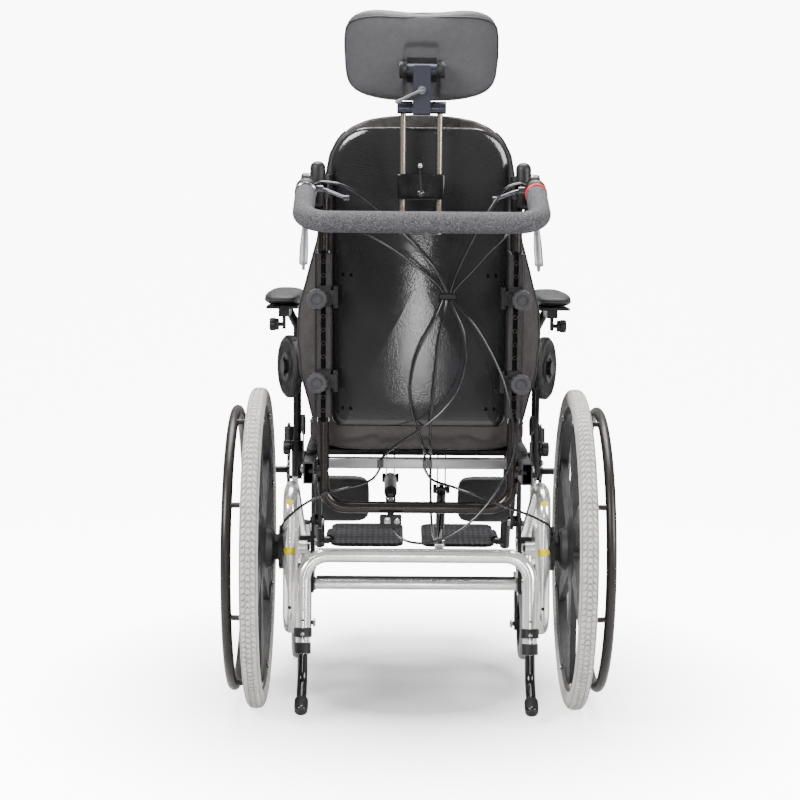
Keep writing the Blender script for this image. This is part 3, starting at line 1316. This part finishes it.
@dataclass
class PushBar:
    """Push bar: foam grip, joint caps, rings and levers."""

    half: float = 207.0
    rear_y: float = -300.0
    rear_z: float = 925.0
    bend: float = 46.0
    foam: float = 19.0
    foam_start: float = 62.0

    def __post_init__(self) -> None:
        """Work out the joint and the direction of the bar's sides."""
        self.joint = on_back((0.0, 0.0, 536.0))
        self.along = unit(np.array([0.0, self.rear_y, self.rear_z]) - self.joint)

    def place(self, x: float, distance: float) -> Array:
        """A point at a distance from the joint along the bar's side."""
        return self.joint + self.along * distance + np.array([x, 0, 0])

    def dropped(self, x: float, distance: float, drop: float) -> Array:
        """A point at a distance along the bar's side and a drop square below it."""
        return self.place(x, distance) + np.cross(RIGHT, self.along) * drop

    def build(self) -> None:
        """Dress the bar and its levers and make the foam, the caps, the rings and the levers' blades."""
        dress("push_bar", BLACK_PAINT)
        for _, name in SIDES:
            dress(f"brake_lever_{name}", LEVER_METAL)
            dress(f"trigger_{name}", TRIGGER_METAL)
        self.grip()
        caps, rings, red = [], [], []
        cap = [(0, 0), (16.2, 0), (16, 2), (13, 4.6), (6, 6), (4.2, 6), (3.8, 4), (0, 4)]
        for side, name in SIDES:
            out, x = (side, 0, 0), side * self.half
            caps.append(lathe(cap, self.joint + np.array([side * 212.2, 0, 0]), out, 40))
            rings.append(collar(self.joint + np.array([side * 200.9, 0, 0]), out, 15.7, 2.2, 1.4, 0.5))
            ring = collar(self.place(x, 53.5), self.along, 10.9, 7.5, 9.4, 1.6)
            (red if side > 0 else rings).append(ring)
            caps.append(collar(self.place(x, 30), self.along, 10.9, 20, 8.4, 3.0))
            piece(f"lever_blade_{name}", [self.blade(x)], LEVER_METAL, f"brake_lever_{name}")
        piece("joint_caps", caps, PLASTIC, "push_bar")
        piece("joint_rings", rings, STEEL, "push_bar")
        piece("release_ring", red, RED, "push_bar")

    def blade(self, x: float) -> Surface:
        """The flat blade on the brake lever at x, from near its pin to its tip and narrower at the pin."""
        pin, tip = self.dropped(x, 38, 34), self.dropped(x, 175, 92)
        lift = np.cross(unit(tip - pin), RIGHT) * 8
        line = pin + (tip - pin) * np.linspace(0.3, 1.03, 12)[:, None] + lift
        wide = 7.8 - 2.6 * smooth_step(np.linspace(1, 0, 12), 0.3, 1.0)
        return sweep(line, wide, RIGHT, 28, 2.5, 0.3)

    def grip(self) -> None:
        """The foam round the bar: a circle swept along its rounded corners, its straight runs cut every 6 mm."""
        h, z = self.half, self.rear_z
        corners = [self.place(h, self.foam_start), (h, self.rear_y, z), (-h, self.rear_y, z),
                   self.place(-h, self.foam_start)]
        path = rounded_path(corners, [self.bend, self.bend], 3.0)
        runs = [path[:1]]
        for a, b in zip(path, path[1:]):
            steps = max(2, int(np.linalg.norm(b - a) / 6)) + 1
            runs.append(a + (b - a) * np.linspace(0, 1, steps)[1:, None])
        line = np.concatenate(runs)
        radius = np.full(len(line), self.foam)
        radius[[0, -1]] -= 1.5
        tube = sweep(line, radius, np.cross(RIGHT, self.along), 40, 2.0)
        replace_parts(piece("foam_grip", [tube], FOAM, "push_bar"), "push_foam")


@dataclass
class Headrest:
    """Headrest: curved pad with piping on its plate, stem and rods."""

    half: tuple[float, float, float] = (139.0, 82.0, 29.0)
    wrap: float = 214.0
    middle: float = 764.0
    face: float = -7.0

    def build(self) -> None:
        """Dress the metal pieces and make the pad and its small pieces."""
        dress("head_rods", ROD_METAL)
        dress("head_stem", HEAD_METAL)
        dress("head_mount", PLASTIC)
        self.pad()
        self.hardware()

    def pad(self) -> None:
        """The wrapped pad with a hollow for its mount and piping along both edges."""
        square = 0.33
        form = pad_form(self.half, square, 0.55, 5.0, 44, 120)
        pad = piece("head_pad_cover", [grid(self.bent(form), False, True)], HEAD_PAD, "headrest")
        inflate(pad, 3.0, 5.0, 4.5)
        crease(pad, self.recess)
        soften(pad)
        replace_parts(pad, "headrest_pad")
        t = np.linspace(0, 2 * np.pi, 160)
        seams = []
        for depth, top in ((-20.0, 66.0), (15.0, 84.0)):
            tall = np.where(np.sin(t) > 0, top, self.half[1])
            flat = np.stack([140 * signed_power(np.cos(t), square), tall * signed_power(np.sin(t), square),
                             0 * t + depth], -1)
            seams.append(sweep(snapped(self.bent(flat), pad, 0.5), 1.8, (0.05, 0.9, 0.4), 8))
        piece("head_pad_piping", seams, PIPING, "headrest")

    def hardware(self) -> None:
        """The swivel's knurled ends, the stem's plate and its lever screw."""
        knurl = [(0, 0), (14, 0), *[(15.4 - 0.8 * (k % 2), 1 + 1.1 * k) for k in range(8)], (13, 10.4),
                 (0, 10.4)]
        ends = [lathe(knurl, on_back((side * 26.5, -30, 738)), (side, 0, 0), 40) for side, _ in SIDES]
        piece("swivel_ends", ends, PLASTIC, "headrest_stem", sharp=60)
        plate = back_slab((31, 86, 2.5), (0, -43.6, 703), 5, 0.7)
        piece("stem_plate", [plate], HEAD_METAL, "headrest_stem", sharp=15)
        lever = sweep(on_back([(0, -53, 702), (-14, -57, 696), (-34, -58, 686), (-45, -58, 681)]),
                      np.array([3.4, 2.6, 2.6, 3.8]), AHEAD, 16, 3)
        screw = bolt(on_back((0, -48.6, 702)), BACK_REAR, 6, 8, 1.5)
        piece("stem_lever", [lever, *screw], LEVER_METAL, "headrest_stem")

    def recess(self, p: Array) -> Array:
        """A soft hollow behind the pad for its mount: the rear face sinks forward by up to 6 mm."""
        x, h = np.abs(p[:, 0]), (p[:, 2] - RECLINE[2]) / math.cos(BACK_LEAN)
        inside = smooth_step(34 - x, 0, 7) * smooth_step(50 - np.abs(h - 737), 0, 8)
        rear = np.abs(p[:, 1] - on_back((0, self.face, self.middle))[1]) < 22
        return np.stack([0 * x, 6.0 * inside * rear, 0 * x], -1)

    def bent(self, p: Array) -> Array:
        """Wrap a flat pad (x, up, thickness) round an upright cylinder.

        It is thinner towards its wings and narrower at its foot, and its top edge rises by 9 mm from the middle to
        100 mm out.
        """
        wide = np.clip(np.abs(p[..., 0]) / self.half[0], 0, 1)
        foot = np.clip(-p[..., 1] / self.half[1], 0, 1)
        a = p[..., 0] / self.wrap * (1 - 0.09 * foot ** 1.5)
        low = 1 - 0.1 * wide ** 2.5 * (1 + foot)
        lift = 9 * (0.5 - 0.5 * np.cos(np.pi * np.clip(np.abs(p[..., 0]) / 100, 0, 1))) - 5
        r = self.wrap - (self.half[2] + 4) - p[..., 2] * (1 - 0.28 * wide ** 2)
        b = self.face + 2 + self.wrap - r * np.cos(a)
        up = self.middle + p[..., 1] * low + lift * np.clip(p[..., 1] / self.half[1], 0, 1)
        return on_back(np.stack([r * np.sin(a) * 1.23, b, up], -1))


@dataclass
class Armrest:
    """One armrest: domed pad, carrier, hip pad and knobs."""

    side: int
    name: str
    x: float = 260.0
    y: float = 164.0
    z: float = 764.0
    half: tuple[float, float, float] = (36.5, 149.5, 17.0)
    hip: tuple[float, float, float] = (246.0, 70.0, 646.0)
    hip_turn: float = 20.0

    def build(self) -> None:
        """Dress the frame and make the pad and the hip pad's cover."""
        body = f"arm_{self.name}"
        dress(f"arm_frame_{self.name}", BLACK_PAINT)
        x, (a, b, _) = self.side * self.x, self.half
        form = pad_form(self.half, 0.5, 0.75, 1.5, 34, 120, 0.72) + np.array([x, self.y, self.z + 12.4])
        pad = piece(f"arm_pad_cover_{self.name}", [grid(form, False, True)], PAD, body)
        soften(pad)
        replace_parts(pad, f"arm_pad_{self.name}")
        t = np.linspace(0, 2 * np.pi, 140)
        path = np.stack([x + a * signed_power(np.cos(t), 0.5), self.y + b * signed_power(np.sin(t), 0.5),
                         0 * t + self.z + 11], -1)
        seam = sweep(snapped(path, pad, 0.2), 1.0, (0.02, 0.02, 1), 8)
        piece(f"arm_pad_seam_{self.name}", [seam], PIPING, body)
        self.hip_pad(body)

    def hip_pad(self, body: str) -> None:
        """The round hip pad: a rimmed disc with an inner ring, and the pad's knob."""
        turn = math.radians(-self.hip_turn * self.side)
        axis = np.array([math.cos(turn), math.sin(turn), 0]) * self.side
        centre = np.array(self.hip) * (self.side, 1, 1)
        rim = [(0, 7.9), (24, 7.9), (25, 9.4), (29, 9.4), (30, 8.0), (50, 8.0), (52, 9.2), (56, 9.2),
               (60.5, 5), (60.8, 0), (60.4, 0), (0, 0)]
        rings = [lathe(rim, centre, axis * way, 72) for way in (-1, 1)]
        piece(f"hip_pad_cover_{self.name}", rings, PAD, body)
        knob = lobed_knob((self.side * 271, 40, 729), (self.side, 0, 0), 13, 13, 6, 2.4)
        piece(f"arm_knob_{self.name}", [knob], PLASTIC, body)


@dataclass
class LegRest:
    """One leg rest: tube, calf pad and tread footplate."""

    side: int
    name: str
    lean: float = 27.0
    calf: tuple[float, float, float] = (62.5, 56.5, 12.4)

    def build(self) -> None:
        """Dress the tube and the plate and make the calf pad."""
        dress(f"leg_hanger_{self.name}", BLACK_PAINT)
        dress(f"footplate_{self.name}", TREAD)
        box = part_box(f"calf_pad_{self.name}")
        middle = to_chair((np.array(box[0]) + np.array(box[1])) / 2)
        a = math.radians(self.lean)
        form = pad_form(self.calf, 0.4, 0.5, 3.0, 30, 90)
        out = np.array([0, -math.cos(a), -math.sin(a)])
        down = np.array([0, math.sin(a), -math.cos(a)])
        pts = middle + form[..., :1] * RIGHT + form[..., 1:2] * down + form[..., 2:] * -out
        pad = piece(f"calf_pad_cover_{self.name}", [grid(pts, False, True)], PAD, f"leg_rest_{self.name}")
        soften(pad)
        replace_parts(pad, f"calf_pad_{self.name}")


@dataclass
class Cables:
    """The sheathed cables from the levers to the brakes and the springs."""

    pitch: float = 6.0
    tie_x: float = 52.0
    tie_h: float = 331.0

    def tie(self, slot: int, above: bool) -> tuple[float, ...]:
        """A cable's place above or below the tie on the shell."""
        x = self.tie_x + (slot - 1.5) * self.pitch
        return tuple(on_back((x, -26.0, self.tie_h + (7 if above else -7))))

    def clip(self, x: float, above: bool) -> tuple[float, float, float]:
        """A cable's place above or below a clip on the rear bar."""
        return (x, -26.5, 477.0 if above else 463.0)

    def build(self) -> None:
        """Make every cable and let it bend between the bodies that it joins."""
        for node, names in (("cables_upper", self.upper()), ("cables_middle", self.middle()),
                            ("cables_lower", self.lower())):
            for made in names:
                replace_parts(made, node)
        tie = extruded(rounded_box(27, 7, 2), on_back((self.tie_x, -30.5, self.tie_h)), RIGHT, UP, AHEAD, 28, 1)
        piece("cable_tie", [tie], PLASTIC, "back")

    def upper(self) -> list[bpy.types.Object]:
        """The four cables between the push bar's levers and the tie."""
        routes = {
            "cable_brake_left": [(-190, -144, 950), (-172, -174, 944), (-146, -200, 930), (-108, -206, 909),
                                 (-66, -192, 887), (-26, -169, 861), (10, -147, 832), (34, -132, 812),
                                 self.tie(0, True)],
            "cable_release_left": [(-180, -158, 996), (-152, -169, 996), (-116, -175, 979), (-77, -174, 948),
                                   (-36, -165, 908), (4, -154, 868), (36, -142, 830), self.tie(1, True)],
            "cable_release_right": [(180, -158, 996), (158, -168, 994), (138, -174, 972), (118, -172, 941),
                                    (98, -161, 904), (78, -147, 862), (62, -135, 824), self.tie(2, True)],
            "cable_brake_right": [(190, -144, 950), (184, -178, 940), (168, -204, 920), (146, -205, 897),
                                  (118, -180, 867), (91, -153, 833), (70, -135, 812), self.tie(3, True)]}
        return [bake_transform(cable(name, route)) for name, route in routes.items()]

    def middle(self) -> list[bpy.types.Object]:
        """The cables down the shell: three to the rear bar's clips and one to the release head."""
        right = [self.tie(0, False), (34, -128, 761), (21, -127, 733), (-2, -125, 693), (-13, -121, 652),
                 (-17, -118, 614), (-13, -113, 579), (-3, -106, 548), (7, -92, 521), (12, -65, 498), (14, -40, 487),
                 self.clip(13, True)]
        tilt = [self.tie(1, False), (45, -129, 760), (39, -129, 732), (33, -125, 690), (29, -121, 646),
                (26, -117, 604), (23, -109, 562), (22, -94, 527), (23, -68, 501), (24, -42, 488), self.clip(25, True)]
        left = [self.tie(2, False), (65, -130, 762), (79, -129, 735), (87, -126, 701), (85, -124, 665),
                (76, -123, 630), (63, -122, 603), (44, -121, 579), (18, -119, 556), (-13, -109, 533), (-42, -83, 511),
                (-62, -50, 490), self.clip(-70, True)]
        head = on_back((-50, -14, -104))
        release = [self.tie(3, False), (77, -131, 766), (98, -132, 743), (121, -129, 708), (140, -127, 672),
                   (155, -126, 637), (165, -125, 601), (173, -123, 564), (177, -121, 528), (174, -119, 493),
                   (160, -118, 458), (137, -118, 417), (104, -119, 378), (64, -118, 348), (23, -116, 333),
                   (-13, -112, 333), (-38, head[1] - 12, head[2] - 14), (-46, head[1], head[2])]
        made = [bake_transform(cable(name, route))
                for name, route in (("cable_brake_right_back", right), ("cable_tilt_back", tilt),
                                    ("cable_brake_left_back", left))]
        return made + [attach(cable("cable_recline", release), "back")]

    def lower(self) -> list[bpy.types.Object]:
        """The cables from the clips to the drum brakes and the tilt spring."""
        end = np.array([256.1, -35.18, 338.18])
        left = [self.clip(-70, False), (-77, -33, 448), (-90, -45, 439), (-112, -63, 434), (-134, -82, 432),
                (-166, -97, 425), (-198, -101, 411), (-226, -92, 391), (-245, -75, 371), (-255, -55, 355),
                tuple(end * (-1, 1, 1))]
        right = [self.clip(13, False), (19.5, -34.5, 448), (33, -46, 439), (52, -63, 436), (72, -78, 432),
                 (94, -89, 426), (124, -99, 415), (154, -103, 404), (184, -104, 394), (212, -97, 383),
                 (236, -80, 369), (252, -61, 357), tuple(end)]
        tilt = [self.clip(25, False), (25, -32, 432), (26, -20, 398), (28, 8, 360), (32, 46, 326), (38, 86, 304),
                (44, 125, 299), (48, 160, 312), (51, 190, 336), (53, 216, 361), (54, 241.4, 379)]
        made = []
        for side, name, route in ((-1, "cable_drum_left", left), (1, "cable_drum_right", right)):
            made.append(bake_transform(cable(name, route)))
        return made + [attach(cable("cable_tilt", tilt), "seat")]


@dataclass
class Studio:
    """Pale floor, soft lights and the camera of the photograph."""

    distance: float = 3605.0
    height: float = 925.0
    aside: float = -60.0
    pitch: float = 5.33
    yaw: float = 0.42
    roll: float = 0.45
    lens: float = 85.77
    aim: tuple[float, float, float] = (0.0, 0.0, 0.62)
    paper_near: float = -12.0
    paper_bend: float = 3.0
    paper_half: float = 14.0

    def build(self) -> None:
        """Make the camera, the floor, the sky and the lights."""
        self.camera()
        self.paper()
        self.sky()
        self.light("key", (-2.4, -2.8, 2.6), (1.6, 1.6), 300)
        self.light("fill", (2.8, -2.2, 1.6), (1.4, 1.8), 170)
        self.light("strip", (0.02, -2.48, 0.29), (0.13, 0.58), 7)
        self.light("top", (0.0, 0.6, 3.6), (2.6, 2.6), 420)

    def camera(self) -> None:
        """The photograph's camera behind the chair: a little to its left, turned and rolled to the right."""
        view = bpy.data.cameras.new("camera")
        view.lens, view.sensor_width, view.clip_end = self.lens, 36.0, 100.0
        eye = bpy.data.objects.new("camera", view)
        eye.location = to_row((self.aside, -self.distance, self.height))
        p, y = math.radians(self.pitch), math.radians(self.yaw)
        ahead = Vector((math.sin(y) * math.cos(p), math.cos(y) * math.cos(p), -math.sin(p)))
        level = ahead.to_track_quat("-Z", "Y") @ Quaternion((0, 0, 1), math.radians(self.roll))
        eye.rotation_euler = level.to_euler()
        bpy.context.collection.objects.link(eye)
        bpy.context.scene.camera = eye

    def paper(self) -> None:
        """White paper that rises on a quarter circle. It glows away from the chair, and only the camera sees it."""
        mesh = bpy.data.meshes.new("floor")
        turn, r = np.linspace(0, np.pi / 2, 24), self.paper_bend
        arc = np.stack([r + r * np.sin(turn), r - r * np.cos(turn)], -1)
        edge = np.concatenate([[(self.paper_near, 0), (2, 0)], arc, [(2 * r, 3 * r)]])
        paper = grid(np.stack([np.stack([0 * edge[:, 0] + x, *edge.T], -1)
                               for x in (-self.paper_half, self.paper_half)]))
        mesh.from_pydata(paper.verts.tolist(), [], paper.faces.tolist())
        mesh.polygons.foreach_set("use_smooth", [True] * len(mesh.polygons))
        floor = bpy.data.objects.new("floor", mesh)
        bpy.context.collection.objects.link(floor)
        pale = bpy.data.materials.new("floor_paper")
        pale.use_nodes = True
        kit = Sockets(pale.node_tree)
        place = kit.node("ShaderNodeTexCoord").outputs["Object"]
        away = kit.node("ShaderNodeVectorMath", operation="LENGTH")
        kit.put(away.inputs[0], kit.node("ShaderNodeMapping", Vector=place, Scale=(1.0, 0.8, 1.0)).outputs[0])
        seen = kit.maths("MULTIPLY", kit.ramp(away.outputs["Value"], 0.2, 0.8, 0.03, 1.0),
                         kit.node("ShaderNodeLightPath").outputs["Is Camera Ray"])
        rear = kit.ramp(kit.node("ShaderNodeSeparateXYZ", Vector=place).outputs[1], -1.7, -0.9)
        shader = kit.node("ShaderNodeBsdfPrincipled", Roughness=0.9, Emission_Strength=9.0,
                          Base_Color=kit.mix(rear, (0.08, 0.08, 0.08, 1), (0.6, 0.6, 0.6, 1)),
                          Emission_Color=kit.mix(seen, (0, 0, 0, 1), (1, 1, 1, 1)))
        kit.put(kit.node("ShaderNodeOutputMaterial").inputs["Surface"], shader.outputs[0])
        mesh.materials.append(pale)

    def sky(self) -> None:
        """A white sky, bright to the camera and dim as a light."""
        sky = bpy.data.worlds.new("studio")
        sky.use_nodes = True
        kit = Sockets(sky.node_tree)
        bright = kit.ramp(kit.node("ShaderNodeLightPath").outputs["Is Camera Ray"], 0.0, 1.0, 0.4, 10.0)
        shown = kit.node("ShaderNodeBackground", Color=(1.0, 1.0, 1.0, 1.0), Strength=bright)
        kit.put(kit.node("ShaderNodeOutputWorld").inputs["Surface"], shown.outputs[0])
        bpy.context.scene.world = sky

    def light(self, name: str, place: Point, size: Point, power: float) -> None:
        """A soft rectangular light aimed at the chair's middle, in row metres."""
        lamp = bpy.data.lights.new(name, "AREA")
        lamp.shape, lamp.size, lamp.size_y, lamp.energy = "RECTANGLE", size[0], size[1], power
        made = bpy.data.objects.new(name, lamp)
        made.location = place
        made.rotation_euler = (Vector(self.aim) - Vector(place)).to_track_quat("-Z", "Y").to_euler()
        bpy.context.collection.objects.link(made)


def main() -> None:
    """Build the chair's looks in order and report each sub-assembly."""
    parts = [Studio(), Base(), Seat(), Back(), PushBar(), Headrest(), Cables()]
    for side, name in SIDES:
        parts += [RearWheel(side, name), Caster(side, name), AntiTip(side, name), Parking(side, name),
                  Armrest(side, name), LegRest(side, name)]
    for part in parts:
        part.build()
        log.info("built %s", part)


if __name__ == "__main__":
    logging.basicConfig(level=logging.INFO, format="%(message)s")
    main()
